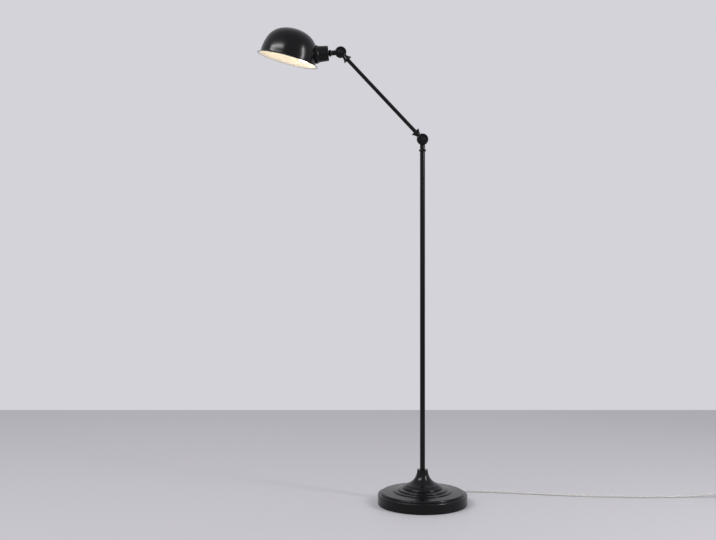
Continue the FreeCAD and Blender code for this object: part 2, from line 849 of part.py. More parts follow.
def head_neck():
    reach = s.head_shoulder + s.head_stem_reach
    knuckle("head_knuckle", HEAD, 1, stem_neck(s.head_shoulder, reach), reach)
    pivot_bolt("head", HEAD)
    lead("neck_lead", HEAD, lead_start, reach)
    washer_start = cup_back + s.cup_floor + s.body_gap
    washer = tube("neck_washer_node", s.neck_washer_radius, s.stem_radius, s.washer_thickness)
    keep("neck_washer", place(washer, HEAD, along=washer_start))
    nut = cut("neck_nut_node", hexagon("neck_nut_hex", s.neck_nut_radius, s.neck_nut_height),
              cylinder("neck_nut_thread", s.stem_radius, s.neck_nut_height))
    keep("neck_nut", place(nut, HEAD, along=washer_start + s.washer_thickness))


def socket_cup():
    bore = s.stem_radius + s.running_clearance
    collar = bead("neck_collar_node", bore, s.head_collar_radius, s.head_collar_height)
    keep("neck_collar", place(collar, HEAD, along=s.head_shoulder + s.body_gap))
    cup = turned("socket_cup_node", [
        (bore, 0),
        (s.cup_back_radius - s.cup_round, 0),
        (s.cup_back_radius, s.cup_round, s.cup_round),
        (s.cup_front_radius, s.cup_length),
        (s.cup_front_radius - s.cup_wall, s.cup_length),
        (s.cup_back_radius - s.cup_wall, s.cup_floor),
        (bore, s.cup_floor)])
    keep("socket_cup", place(cup, HEAD, along=cup_back))


def dome_points(inset):
    """The dome from its apex down to the lip, a wall's inset inside the outer face."""
    reach = [(crown_end, s.crown_angle, s.crown_sweep),
             (haunch_end, s.haunch_angle, s.haunch_sweep)]
    points = [(0, s.dome_height - inset)]
    for (radius, height), angle, sweep in reach:
        points.append((radius - inset * sine(angle), height - inset * cosine(angle), inset - sweep))
    points.append((dome_radius - inset, lip_rise, inset - side_sweep))
    return points


def dome_solid(label, inset):
    """The filled dome, used to trim what seats on its outside or its inside."""
    low = (dome_radius - inset, s.shade_wall)
    return place(turned(label, dome_points(inset) + [low, (0, s.shade_wall)]), SHADE)


def shade():
    inside = dome_points(s.shade_wall)
    outside = dome_points(as_size(0))
    flare = dome_radius + s.lip_flare
    edge = s.shade_wall / 2
    lip = [(flare, 0, s.lip_flare + s.shade_wall),
           (rim_radius - edge, 0),
           (rim_radius, edge, edge),
           (rim_radius - edge, s.shade_wall, edge),
           (flare, s.shade_wall),
           (dome_radius, lip_rise, -s.lip_flare)]
    up = [(outside[2][0], outside[2][1], side_sweep),
          (outside[1][0], outside[1][1], s.haunch_sweep),
          (0, s.dome_height, s.crown_sweep)]
    wall = place(turned("shade_wall", inside + lip + up), SHADE)
    hole = cylinder("shade_hole", s.holder_radius + s.seat_clearance, s.gallery_trim * 2)
    place(hole, HEAD, along=gallery_seat - s.gallery_trim)
    keep("shade", cut("shade_node", wall, hole))


def gallery_ring():
    lip = s.gallery_length - s.gallery_web
    blank = turned("gallery_ring_blank", [
        (s.holder_radius + s.seat_clearance, 0),
        (s.cup_front_radius + s.edge_land, 0),
        (s.gallery_radius, lip, -s.gallery_sweep),
        (s.gallery_radius, s.gallery_length + s.gallery_trim),
        (s.gallery_radius - s.gallery_wall, s.gallery_length + s.gallery_trim),
        (s.gallery_radius - s.gallery_wall, s.gallery_length),
        (s.cup_front_radius - s.cup_wall, s.gallery_web),
        (s.holder_radius + s.seat_clearance, s.gallery_web)])
    place(blank, HEAD, along=cup_front)
    keep("gallery_ring", cut("gallery_ring_node", blank, dome_solid("gallery_ring_trim", as_size(0))))


def lampholder():
    shoulder = s.cup_length - s.holder_back
    radius = s.cup_front_radius - s.cup_wall - s.seat_clearance - (
        s.holder_shoulder * (s.cup_front_radius - s.cup_back_radius) / s.cup_length)
    length = s.holder_front - s.holder_back
    holder = turned("lampholder_blank", [
        (0, 0),
        (s.holder_radius, 0),
        (s.holder_radius, shoulder - s.holder_shoulder),
        (radius, shoulder - s.holder_shoulder),
        (radius, shoulder),
        (s.holder_radius, shoulder),
        (s.holder_radius, length),
        (s.holder_bore, length),
        (s.holder_bore, s.holder_floor),
        (0, s.holder_floor)])
    entry = cylinder("lampholder_entry", s.cable_bore, s.holder_floor / 2)
    body = cut("lampholder_node", holder, entry)
    keep("lampholder_body", place(body, HEAD, along=cup_back + s.holder_back))
    inner = cup_back + s.holder_back + s.holder_floor
    sleeve = tube("lampholder_sleeve_node", s.sleeve_radius, s.sleeve_radius - s.sleeve_wall,
                  length - s.holder_floor - 2 * s.sleeve_start)
    keep("lampholder_sleeve", place(sleeve, HEAD, along=inner + s.sleeve_start))
    contact = cylinder("lampholder_contact_node", s.contact_radius, s.contact_thickness)
    keep("lampholder_contact", place(contact, HEAD, along=inner))
    lead("holder_lead", HEAD, s.head_shoulder + s.head_stem_reach + s.body_gap,
         cup_back + s.holder_back + s.holder_floor / 2)
    ring = tube("shade_ring_blank", s.shade_ring_radius, s.holder_radius, s.shade_ring_front + s.gallery_trim)
    place(ring, HEAD, along=gallery_seat - s.gallery_trim)
    keep("shade_ring", common("shade_ring_node", ring, dome_solid("shade_ring_trim", s.shade_wall)))


def bulb():
    start = cup_back + s.holder_back + s.holder_floor + s.contact_thickness
    cap = turned("bulb_cap_node", [
        (0, 0),
        (s.cap_tip_radius, 0),
        (s.cap_radius - s.cap_shell, s.cap_insulator),
        (s.cap_radius, s.cap_insulator + s.cap_shell),
        (s.cap_radius, s.cap_length),
        (s.cap_radius - s.cap_shell, s.cap_length),
        (s.cap_radius - s.cap_shell, s.cap_insulator + s.cap_shell),
        (0, s.cap_insulator + s.cap_shell)])
    keep("bulb_cap", place(cap, HEAD, along=start))
    centre = s.bulb_length - s.globe_radius
    inner = s.globe_radius - s.globe_glass
    sides, drop = sine(s.globe_tangent), cosine(s.globe_tangent)
    globe = turned("bulb_globe_node", [
        (s.globe_neck_radius - s.globe_glass, s.cap_length),
        (s.globe_neck_radius, s.cap_length),
        (s.globe_radius * sides, centre - s.globe_radius * drop),
        (s.globe_radius, centre, s.globe_radius),
        (0, s.bulb_length, s.globe_radius),
        (0, s.bulb_length - s.globe_glass),
        (inner, centre, -inner),
        (inner * sides, centre - inner * drop, -inner)])
    keep("bulb_globe", place(globe, HEAD, along=start))


# --- leads, coil, foot switch and plug ---

def swept(path, radius):
    """A round tube along a path of edges that run into each other."""
    wire = Part.Wire(path)
    start = path[0].valueAt(path[0].FirstParameter)
    heading = path[0].tangentAt(path[0].FirstParameter)
    ring = Part.Wire(Part.makeCircle(radius, start, heading))
    return wire.makePipeShell([ring], True, False)


def bent_path(points, fixed_radius=None):
    """Straight runs joined by tangent arcs, each as large as its two runs allow."""
    corners = [FreeCAD.Vector(*point) for point in points]
    edges = []
    radii = []
    last = corners[0]
    for before, corner, after in zip(corners, corners[1:], corners[2:]):
        arrive = (corner - before).normalize()
        leave = (after - corner).normalize()
        turn = arrive.getAngle(leave)
        reach = 0.45 * min((corner - before).Length, (after - corner).Length)
        radius = fixed_radius if fixed_radius else reach / math.tan(turn / 2)
        reach = radius * math.tan(turn / 2)
        first, final = corner - arrive * reach, corner + leave * reach
        towards = (leave - arrive).normalize()
        middle = corner + towards * (radius / math.cos(turn / 2) - radius)
        edges.append(Part.LineSegment(last, first).toShape())
        edges.append(Part.Arc(first, middle, final).toShape())
        radii.append(radius)
        last = final
    edges.append(Part.LineSegment(last, corners[-1]).toShape())
    return edges, radii


def tube_node(label, path, radius, radii):
    """Sweeps a lead and prints its length, its bends and its volume against section by length."""
    solid = swept(path, radius)
    length = sum(edge.Length for edge in path)
    share = solid.Volume / (math.pi * radius * radius * length)
    bends = ", ".join(f"{value:.0f}" for value in radii)
    print(f"{label}: length {length:.1f} mm, volume share {share:.4f}, bend radii {bends}")
    thing = doc.addObject("Part::Feature", label + "_node")
    thing.Shape = solid
    keep(label, thing)
    return length


def base_lead():
    turn = math.radians(number(s.cord_azimuth))
    tip = number(s.base_radius + s.relief_length)
    climb = [(tip, number(s.cord_height)),
             (number(s.lead_rise_start), number(s.cord_height)),
             (0.0, number(s.lead_rise_top)),
             (0.0, number(clip_top - s.clip_length - s.clip_length))]
    points = [(out * math.cos(turn), out * math.sin(turn), up) for out, up in climb]
    path, radii = bent_path(points, number(s.lead_bend))
    tube_node("stand_lead", path, number(s.lead_radius), radii)


def grommet():
    bore = s.lead_radius + s.seat_clearance
    wall = s.base_radius
    outline = [
        (bore, wall - s.grommet_inside),
        (s.grommet_hole - s.seat_clearance, wall - s.grommet_inside),
        (s.grommet_hole - s.seat_clearance, wall + s.edge_land),
        (s.grommet_flange, wall + s.edge_land),
        (s.grommet_flange, wall + s.grommet_flange_thickness),
        (s.grommet_hole + s.edge_land, wall + s.grommet_flange_thickness + s.edge_land),
        (s.relief_tip_radius, wall + s.relief_length),
        (bore, wall + s.relief_length)]
    bush = turned("cord_grommet_node", outline)
    keep("cord_grommet", put(bush, 0, 0, s.cord_height, "z", s.cord_azimuth, "y", 90))


def coil_halves():
    """Start radius of each half turn: inwards on the floor, then outwards on the second layer."""
    step = number(s.coil_pitch) / 2
    tuck = number(s.coil_tuck)
    radii = [number(s.coil_radius)]
    for half in range(COIL_LAYER_ONE_HALVES):
        radii.append(radii[-1] - step - (tuck if half == COIL_LAYER_ONE_HALVES - 1 else 0))
    radii.append(radii[-1])
    for half in range(COIL_LAYER_TWO_HALVES):
        radii.append(radii[-1] + step + (tuck if half == 0 else 0))
    return radii


def coil_path():
    """Half turns seen from above, clockwise, with one climb between the two layers."""
    radius = number(s.cord_radius)
    centre = FreeCAD.Vector(COIL_CENTRE[0], COIL_CENTRE[1], radius)
    start = math.radians(COIL_START_ANGLE)
    spoke = FreeCAD.Vector(math.cos(start), math.sin(start), 0)
    along = FreeCAD.Vector(spoke.y, -spoke.x, 0)
    radii = coil_halves()
    edges = []
    height = 0.0
    side = 1
    for half in range(len(radii) - 1):
        rise = number(s.coil_pitch) if half == COIL_LAYER_ONE_HALVES else 0.0
        up = FreeCAD.Vector(0, 0, 1)
        first = centre + spoke * (side * radii[half]) + up * height
        final = centre - spoke * (side * radii[half + 1]) + up * (height + rise)
        heading = along * side
        reach = (final - first).Length / 2
        joint = (first + final) / 2 + heading * reach
        for a, b, way in ((first, joint, heading), (final, joint, heading)):
            edges.append(quarter(a, b, way))
        height += rise
        side = -side
    # the second quarter of each half turn was drawn from its far end, so it is turned round
    ordered = []
    for index, edge in enumerate(edges):
        ordered.append(edge if index % 2 == 0 else quarter_back(edge))
    first = ordered[0].valueAt(ordered[0].FirstParameter)
    final = ordered[-1].valueAt(ordered[-1].LastParameter)
    enter = Part.LineSegment(first - along * (2 * radius), first).toShape()
    leave = Part.LineSegment(final, final + along * (side * 2 * radius)).toShape()
    return [enter] + ordered + [leave]


def quarter(start, joint, heading):
    """The quarter arc that leaves start along heading and ends at joint."""
    chord = joint - start
    radius = chord.Length ** 2 / (2 * (chord - heading * chord.dot(heading)).Length)
    inward = (chord - heading * chord.dot(heading)).normalize()
    centre = start + inward * radius
    middle = centre + ((start - centre).normalize() + (joint - centre).normalize()).normalize() * radius
    return Part.Arc(start, middle, joint).toShape()


def quarter_back(edge):
    """The same arc walked the other way."""
    first, last = edge.FirstParameter, edge.LastParameter
    return Part.Arc(edge.valueAt(last), edge.valueAt((first + last) / 2), edge.valueAt(first)).toShape()


def least_gap(path, radius):
    """Least gap of the coil to itself, measured on points along its centre line."""
    spots = []
    walked = 0.0
    for edge in path:
        count = max(int(edge.Length / 1.5), 2)
        for step in range(count):
            part = edge.FirstParameter + (edge.LastParameter - edge.FirstParameter) * step / count
            spots.append((walked + edge.Length * step / count, edge.valueAt(part)))
        walked += edge.Length
    least = 1e9
    for index, (place_a, a) in enumerate(spots):
        for place_b, b in spots[index + 1:]:
            if place_b - place_a > 8 * radius:
                least = min(least, (a - b).Length - 2 * radius)
    return least


def cords():
    radius = number(s.cord_radius)
    path, radii = bent_path(POWER_CORD_POINTS)
    tube_node("power_cord", path, radius, radii)
    coil = coil_path()
    print(f"cord_coil: least gap to itself {least_gap(coil, radius):.2f} mm")
    tube_node("cord_coil", coil, radius, [])
    start = coil[0].valueAt(coil[0].FirstParameter)
    end = coil[-1].valueAt(coil[-1].LastParameter)
    print(f"cord_coil: from ({start.x:.2f}, {start.y:.2f}, {start.z:.2f})"
          f" to ({end.x:.2f}, {end.y:.2f}, {end.z:.2f})")
    for label, points in (("plug_lead", PLUG_LEAD_POINTS), ("plug_tail", PLUG_TAIL_POINTS)):
        path, radii = bent_path(points)
        tube_node(label, path, radius, radii)


def rounded_plate(label, length, width, corner, height):
    across, up = length / 2, width / 2
    return padded(label, [
        (across - corner, -up),
        (across, corner - up, corner),
        (across, up - corner),
        (across - corner, up, corner),
        (corner - across, up),
        (-across, up - corner, corner),
        (-across, corner - up),
        (corner - across, -up, corner)], height)


def foot_switch():
    x, y = SWITCH_CENTRE
    inner_length, inner_width = s.switch_length - 2 * s.switch_wall, s.switch_width - 2 * s.switch_wall
    inner_corner = s.switch_corner - s.switch_wall
    tray = rounded_plate("switch_tray_outer", s.switch_length, s.switch_width, s.switch_corner, s.tray_height)
    hollow = rounded_plate("switch_tray_inner", inner_length, inner_width, inner_corner, s.tray_height)
    put(hollow, 0, 0, s.switch_wall)
    posts = []
    for side in (-1, 1):
        posts.append(put(cylinder(f"switch_post_{side + 2}", s.screw_head_radius + s.switch_wall,
                                  s.tray_height), side * s.screw_spacing / 2, 0, 0))
    tray_blank = fuse("switch_tray_blank", cut("switch_tray_shell", tray, hollow), *posts)
    screw_holes = []
    for side in (-1, 1):
        for name, radius, height in (("shank", s.screw_radius, s.tray_height + s.lid_height / 2),
                                     ("head", s.screw_head_radius + s.seat_clearance, s.screw_head_height)):
            hole = cylinder(f"switch_screw_{name}_hole_{side + 2}", radius, height)
            screw_holes.append(put(hole, side * s.screw_spacing / 2, 0, 0))
    keep("switch_tray", put(cut("switch_tray_node", tray_blank, *screw_holes), x, y, 0))

    lid = rounded_plate("switch_lid_outer", s.switch_length, s.switch_width, s.switch_corner, s.lid_height)
    top = number(s.lid_height)
    rounded_edges(lid, "switch_lid_round", s.lid_round,
                  lambda edge: all(abs(v.Z - top) < 1e-6 for v in edge.Vertexes))
    room = rounded_plate("switch_lid_inner", inner_length, inner_width, inner_corner,
                         s.lid_height - s.switch_wall)
    window = cylinder("switch_lid_window", s.button_radius + s.body_gap, 2 * s.lid_height)
    shell = cut("switch_lid_shell", lid, room, window)
    pillars = []
    threads = []
    for side in (-1, 1):
        pillar = cylinder(f"switch_pillar_{side + 2}", s.screw_head_radius, s.lid_height - s.switch_wall)
        pillars.append(put(pillar, side * s.screw_spacing / 2, 0, 0))
        thread = cylinder(f"switch_thread_{side + 2}", s.screw_radius, s.lid_height / 2)
        threads.append(put(thread, side * s.screw_spacing / 2, 0, 0))
    lid_blank = fuse("switch_lid_blank", shell, *pillars)
    keep("switch_lid", put(cut("switch_lid_node", lid_blank, *threads), x, y, s.tray_height))

    underside = s.tray_height + s.lid_height - s.switch_wall
    flange_top = underside - s.body_gap
    top_height = s.tray_height + s.lid_height + s.button_proud
    button = turned("switch_button_node", [
        (0, flange_top - s.button_flange_thickness),
        (s.button_radius + s.button_flange, flange_top - s.button_flange_thickness),
        (s.button_radius + s.button_flange, flange_top),
        (s.button_radius, flange_top),
        (s.button_radius, top_height - s.button_round),
        (s.button_radius - s.button_round, top_height, s.button_round),
        (0, top_height)])
    keep("switch_button", put(button, x, y, 0))
    mechanism = block("switch_block_node", s.block_length, s.block_width, s.block_height)
    keep("switch_block", put(mechanism, x - s.block_length / 2, y - s.block_width / 2, s.switch_wall))
    spring_low = s.switch_wall + s.block_height
    spring = tube("switch_spring_node", s.spring_radius, s.spring_radius - s.spring_wall,
                  flange_top - s.button_flange_thickness - s.seat_clearance - spring_low)
    keep("switch_spring", put(spring, x, y, spring_low))

    screws = []
    for side in (-1, 1):
        screw = turned(f"switch_screw_{side + 2}", [
            (0, s.seat_clearance),
            (s.screw_head_radius, s.seat_clearance),
            (s.screw_head_radius, s.screw_head_height),
            (s.screw_radius, s.screw_head_height),
            (s.screw_radius, s.screw_head_height + s.screw_length),
            (0, s.screw_head_height + s.screw_length)])
        screws.append(put(screw, side * s.screw_spacing / 2, 0, 0))
    keep("switch_screws", put(fuse("switch_screws_node", *screws), x, y, 0))

    sleeves = []
    for side in (-1, 1):
        sleeve = turned(f"switch_sleeve_{side + 2}", [
            (0, 0),
            (s.sleeve_root_radius, 0),
            (s.sleeve_tip_radius, s.sleeve_length),
            (0, s.sleeve_length)])
        sleeves.append(put(sleeve, side * s.switch_length / 2, 0, s.tray_height, "y", 90 * side))
    keep("switch_sleeves", put(fuse("switch_sleeves_node", *sleeves), x, y, 0))


def plug():
    x, y = PLUG_FACE
    middle = s.plug_thickness / 2
    body = padded("plug_body_flat", [
        (0, -s.plug_face_half_width),
        (s.plug_nose, -s.plug_half_width),
        (s.plug_shoulder, -s.plug_half_width),
        (s.plug_length, -s.plug_tail_half_width),
        (s.plug_length, s.plug_tail_half_width),
        (s.plug_shoulder, s.plug_half_width),
        (s.plug_nose, s.plug_half_width),
        (0, s.plug_face_half_width)], s.plug_thickness)
    low, high = 1e-6, number(s.plug_thickness) - 1e-6
    rounded_edges(body, "plug_body_round", s.plug_edge,
                  lambda edge: min(v.Z for v in edge.Vertexes) < low
                  and max(v.Z for v in edge.Vertexes) > high)
    boot = turned("plug_boot", [
        (0, 0),
        (s.plug_boot_root, 0),
        (s.plug_boot_tip, s.plug_boot_length),
        (0, s.plug_boot_length)])
    put(boot, s.plug_length, 0, middle, "y", 90)
    sockets = []
    pins = []
    for side in (-1, 1):
        socket = cylinder(f"plug_socket_{side + 2}", s.pin_root_radius, s.pin_root)
        sockets.append(put(socket, 0, side * s.pin_spacing / 2, middle, "y", 90))
        pin = turned(f"plug_pin_{side + 2}", [
            (0, 0),
            (s.pin_root_radius, 0),
            (s.pin_root_radius, s.pin_root),
            (s.pin_radius, s.pin_root),
            (s.pin_radius, s.pin_root + s.pin_length - s.pin_round),
            (s.pin_radius - s.pin_round, s.pin_root + s.pin_length, s.pin_round),
            (0, s.pin_root + s.pin_length)])
        pins.append(put(pin, s.pin_root, side * s.pin_spacing / 2, middle, "y", -90))
    shell = cut("plug_body_node", fuse("plug_body_blank", body, boot), *sockets)
    keep("plug_body", put(shell, x, y, 0))
    keep("plug_pins", put(fuse("plug_pins_node", *pins), x, y, 0))


# --- build, check and write ---

base_cover()
neck_ring()
base_weight()
base_pad()
foot_fastening()
pole()
elbow()
arm()
head_neck()
socket_cup()
gallery_ring()
shade()
lampholder()
bulb()
grommet()
base_lead()
cords()
foot_switch()
plug()
doc.recompute()

for thing in doc.Objects:
    if "Invalid" in thing.State or "Error" in thing.State:
        raise RuntimeError(f"{thing.Name} failed: {thing.State}")
for thing in SUB_PARTS:
    if thing.Shape.isNull() or not thing.Shape.isValid() or not thing.Shape.Solids:
        raise RuntimeError(f"{thing.Label} has no valid solid")

os.makedirs("parts", exist_ok=True)
for thing in SUB_PARTS:
    thing.Shape.exportStep(os.path.join("parts", thing.Label + ".step"))
print(f"{len(SUB_PARTS)} sub-parts, rim radius {rim_radius.value:.2f} mm,"
      f" head pivot ({head_x.value:.1f}, {head_z.value:.1f}),"
      f" shade centre ({shade_x.value:.1f}, {shade_z.value:.1f})")
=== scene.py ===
# %% [markdown]
# # Dressing a bridge floor lamp
#
# The lamp is already measured and joined as a CAD model: a heavy round base, a tall pole, a
# leaning arm on two knuckles and a small domed shade. This lesson gives it its finishes, adds
# the forms that a solid model leaves plain, and sets up a quiet studio around it.
# Everything is in metres, with +Z up and the origin under the middle of the base.

# %% Load the lamp
import math

import bpy
from mathutils import Matrix, Vector


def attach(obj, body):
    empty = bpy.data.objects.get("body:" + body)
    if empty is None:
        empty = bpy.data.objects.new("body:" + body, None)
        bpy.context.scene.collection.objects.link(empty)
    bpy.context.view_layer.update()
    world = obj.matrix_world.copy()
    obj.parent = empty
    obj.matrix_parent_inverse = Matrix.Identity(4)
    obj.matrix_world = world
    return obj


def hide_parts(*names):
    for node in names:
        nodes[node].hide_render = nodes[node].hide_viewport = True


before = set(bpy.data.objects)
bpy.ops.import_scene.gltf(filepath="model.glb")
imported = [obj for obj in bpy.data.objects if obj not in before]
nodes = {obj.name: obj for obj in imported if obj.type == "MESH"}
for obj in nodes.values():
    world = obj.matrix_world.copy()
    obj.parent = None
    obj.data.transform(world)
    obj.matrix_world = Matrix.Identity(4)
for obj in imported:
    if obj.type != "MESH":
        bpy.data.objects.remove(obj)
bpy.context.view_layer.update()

MM_PER_METRE = 1000

print("pieces in the CAD model:", len(nodes))

# %% [markdown]
# ## The camera
#
# The picture was taken with the lens level, a little over half way up the lamp, from about
# 3.3 m. A level camera keeps the pole upright. Instead of tipping it down to fit the base in,
# the picture is shifted a little, as on a camera with a shift lens.

# %% Set up the camera
FRAME_WIDTH, FRAME_HEIGHT = 716, 540
FOCAL_PIXELS = 1064.0
SENSOR_WIDTH = 36.0
HORIZON_ROW = 237.0
CAMERA_PLACE = (-0.2024, -3.338, 0.8366)

scene = bpy.context.scene
bpy.ops.object.camera_add(location=CAMERA_PLACE, rotation=(math.radians(90), 0, 0))
camera = bpy.context.object
camera.name = "studio_camera"
camera.data.sensor_width = SENSOR_WIDTH
camera.data.lens = FOCAL_PIXELS * SENSOR_WIDTH / FRAME_WIDTH
camera.data.shift_y = (HORIZON_ROW - FRAME_HEIGHT / 2) / FRAME_WIDTH
scene.camera = camera
print("lens", round(camera.data.lens, 1), "mm, shift", round(camera.data.shift_y, 4))

# %% [markdown]
# ## Colours and nodes
#
# Colours are written the way a paint chart or a screen gives them, as sRGB hex values. Blender
# mixes light in linear values, so one function turns each code into them. A second small
# function adds a shader node, sets its values and wires it up, so that a material reads like
# a recipe.

# %% Colour and node helpers
def colour(code):
    """A linear colour from an sRGB code such as 1A1A1C."""
    channels = [int(code[i:i + 2], 16) / 255 for i in (0, 2, 4)]
    linear = [c / 12.92 if c <= 0.04045 else ((c + 0.055) / 1.055) ** 2.4 for c in channels]
    return (*linear, 1.0)


def add_node(material, kind, **inputs):
    """Adds a node; an input is a value, or another node's output to link from."""
    tree = material.node_tree
    node = tree.nodes.new(kind)
    for name, value in inputs.items():
        socket = node.inputs[name.replace("_", " ")]
        if isinstance(value, bpy.types.NodeSocket):
            tree.links.new(value, socket)
        else:
            socket.default_value = value
    return node


def surface(name, **sockets):
    """A material with one Principled shader, whose sockets are set by name."""
    material = bpy.data.materials.new(name)
    material.use_nodes = True
    shader = material.node_tree.nodes["Principled BSDF"]
    for socket, value in sockets.items():
        shader.inputs[socket.replace("_", " ")].default_value = value
    return material


def feed(material, output, socket):
    """Drives a socket of the material's shader from another node's output."""
    shader = material.node_tree.nodes["Principled BSDF"]
    material.node_tree.links.new(output, shader.inputs[socket])


# %% [markdown]
# Two more helpers give a finish its surface. The first lays a fine noise over it as bumps of a
# real size and depth. The second lets the same noise vary the roughness, so that the tops and
# the hollows of the bumps shine a little differently.

# %% Grain and mottle
GRAIN_DETAIL = 3.0
GRAIN_ROUGHNESS = 0.55


def grain(material, size_mm, depth_mm):
    """A fine bump whose grains are size_mm across and depth_mm deep."""
    place = add_node(material, "ShaderNodeTexCoord")
    noise = add_node(material, "ShaderNodeTexNoise", Vector=place.outputs["Object"],
                     Scale=MM_PER_METRE / size_mm, Detail=GRAIN_DETAIL,
                     Roughness=GRAIN_ROUGHNESS)
    bump = add_node(material, "ShaderNodeBump", Height=noise.outputs["Fac"],
                    Distance=depth_mm / MM_PER_METRE, Strength=1.0)
    feed(material, bump.outputs["Normal"], "Normal")
    return noise


def mottle(material, noise, low, high):
    """Spreads the roughness from low to high, by the noise that already drives the bump."""
    spread = add_node(material, "ShaderNodeMapRange", Value=noise.outputs["Fac"],
                      To_Min=low, To_Max=high)
    feed(material, spread.outputs["Result"], "Roughness")


# %% [markdown]
# ## The finishes
#
# Most of the lamp wears one finish: black powder coat, sprayed as dry powder and melted in an
# oven. The melt leaves a skin that is smooth to the hand but slightly pebbled, like a very fine
# orange peel, so highlights spread into soft bands with a quiet shimmer. Real pebbles are about
# 0.8 mm across, which is under one pixel from where the camera stands, so they are drawn as
# 2.5 mm. The index of refraction is set low, at 1.31, because the black stays deep in the
# picture even where it mirrors the pale floor.

# %% Black powder coat
powder_coat = surface("satin_black_powder_coat", Base_Color=colour("050506"), Roughness=0.22,
                      IOR=1.31)
pebbles = grain(powder_coat, size_mm=2.5, depth_mm=0.010)
mottle(powder_coat, pebbles, 0.19, 0.25)

# %% [markdown]
# Inside, the shade is sprayed warm white, so that it throws the light down. It is an enamel
# with a low gloss. The bulb is opal glass, which is white all over when lit. Only the bulb
# gives off light, and the white enamel carries its glow round the inside of the shade.

# %% White enamel and the lit bulb
white_enamel = surface("warm_white_enamel", Base_Color=colour("F6F0E0"), Roughness=0.45,
                       IOR=1.5)
grain(white_enamel, size_mm=2.5, depth_mm=0.006)

opal_glass = surface("lit_opal_glass", Base_Color=colour("FBF4E4"), Roughness=0.25, IOR=1.5,
                     Emission_Color=colour("FFF7E8"), Emission_Strength=6.6)

# %% [markdown]
# The small hardware is steel in two finishes: the knuckles' screws, washers and nuts are
# blackened, and the parts that nobody sees are zinc plated, bright with a slight blue tint. The
# lampholder's threaded sleeve and contact and the pole's bush are stamped brass, the plug's
# pins are nickel plated, the bulb's cap is aluminium, and the weight in the base is raw iron.

# %% Metals
blackened_steel = surface("blackened_steel", Base_Color=colour("2A2A2C"), Metallic=1.0,
                          Roughness=0.42)
grain(blackened_steel, size_mm=1.5, depth_mm=0.004)
zinc_plate = surface("zinc_plated_steel", Base_Color=colour("B9BCC2"), Metallic=1.0,
                     Roughness=0.34)
grain(zinc_plate, size_mm=2.0, depth_mm=0.004)
stamped_brass = surface("stamped_brass", Base_Color=colour("D2AE62"), Metallic=1.0,
                        Roughness=0.28)
nickel_plate = surface("nickel_plated_brass", Base_Color=colour("C9C4B8"), Metallic=1.0,
                       Roughness=0.2)
aluminium_cap = surface("bright_aluminium", Base_Color=colour("D9DADC"), Metallic=1.0,
                        Roughness=0.25)
cast_iron = surface("raw_cast_iron", Base_Color=colour("4A4846"), Metallic=0.6, Roughness=0.7)
grain(cast_iron, size_mm=3.0, depth_mm=0.15)

# %% [markdown]
# Plastics and soft parts. The cord, its sleeves and the plug are clear PVC with a little haze,
# so light goes into them and comes out pale. The foot switch is ABS in black, moulded in a
# spark-eroded tool, which leaves an even fine grain, and its button is polished. The lampholder
# is a pale heat-proof thermoset, the knuckles' friction rings are black fibre, and the
# underside of the base wears pressed felt.

# %% Plastics, fibre and felt
clear_pvc = surface("clear_pvc", Base_Color=colour("F7F7F4"), Roughness=0.1, IOR=1.5,
                    Transmission_Weight=0.72)
clear_sleeve = surface("hazy_clear_pvc", Base_Color=colour("E4E4DE"), Roughness=0.25, IOR=1.53,
                       Transmission_Weight=0.45)
core_white = surface("white_core_insulation", Base_Color=colour("F2F1EC"), Roughness=0.4,
                     IOR=1.5)
core_silver = surface("tinned_copper_core", Base_Color=colour("E3E1DC"), Metallic=0.35,
                      Roughness=0.35)
black_abs = surface("black_abs", Base_Color=colour("1D1D1F"), Roughness=0.5, IOR=1.5)
sparked = grain(black_abs, size_mm=1.2, depth_mm=0.012)
mottle(black_abs, sparked, 0.42, 0.56)
gloss_abs = surface("gloss_black_abs", Base_Color=colour("232326"), Roughness=0.18, IOR=1.5)
thermoset = surface("pale_thermoset", Base_Color=colour("E4DFD0"), Roughness=0.5, IOR=1.5)
fibre = surface("black_fibre", Base_Color=colour("2B2927"), Roughness=0.85, IOR=1.45)
felt = surface("pressed_felt", Base_Color=colour("262628"), Roughness=0.95, IOR=1.4,
               Sheen_Weight=0.3)
grain(felt, size_mm=1.5, depth_mm=0.3)
print("materials:", len(bpy.data.materials))

# %% [markdown]
# ## Which piece wears which finish
#
# Every piece of the CAD model gets its material here, sorted by finish, as the pieces would be
# in the workshop. Most of them keep their own shape. The shade and the cord are replaced
# further down by pieces made for the picture.

# %% Give the CAD pieces their finishes
FINISHES = [
    (powder_coat, "base_cover neck_ring pole_tube pole_collar elbow_knuckle arm_lower_knuckle "
                  "arm_upper_knuckle arm_tube head_knuckle neck_collar socket_cup gallery_ring "
                  "shade"),
    (zinc_plate, "foot_washer foot_bolt pole_foot_insert swivel_clip neck_washer neck_nut "
                 "switch_spring switch_screws"),
    (blackened_steel, "elbow_bolt elbow_washer elbow_spring_washer elbow_nut head_bolt "
                      "head_washer head_spring_washer head_nut"),
    (stamped_brass, "pole_top_bush lampholder_sleeve lampholder_contact"),
    (nickel_plate, "plug_pins"),
    (aluminium_cap, "bulb_cap"),
    (cast_iron, "base_weight"),
    (felt, "base_pad"),
    (fibre, "elbow_friction_ring head_friction_ring"),
    (core_white, "stand_lead elbow_lead arm_lead neck_lead holder_lead"),
    (thermoset, "lampholder_body shade_ring"),
    (opal_glass, "bulb_globe"),
    (black_abs, "switch_tray switch_lid switch_block"),
    (gloss_abs, "switch_button"),
    (clear_sleeve, "cord_grommet switch_sleeves plug_body"),
    (clear_pvc, "power_cord plug_lead cord_coil plug_tail"),
]
dressed = 0
for finish, names in FINISHES:
    for name in names.split():
        nodes[name].data.materials.clear()
        nodes[name].data.materials.append(finish)
        dressed += 1
print("dressed", dressed, "of", len(nodes))

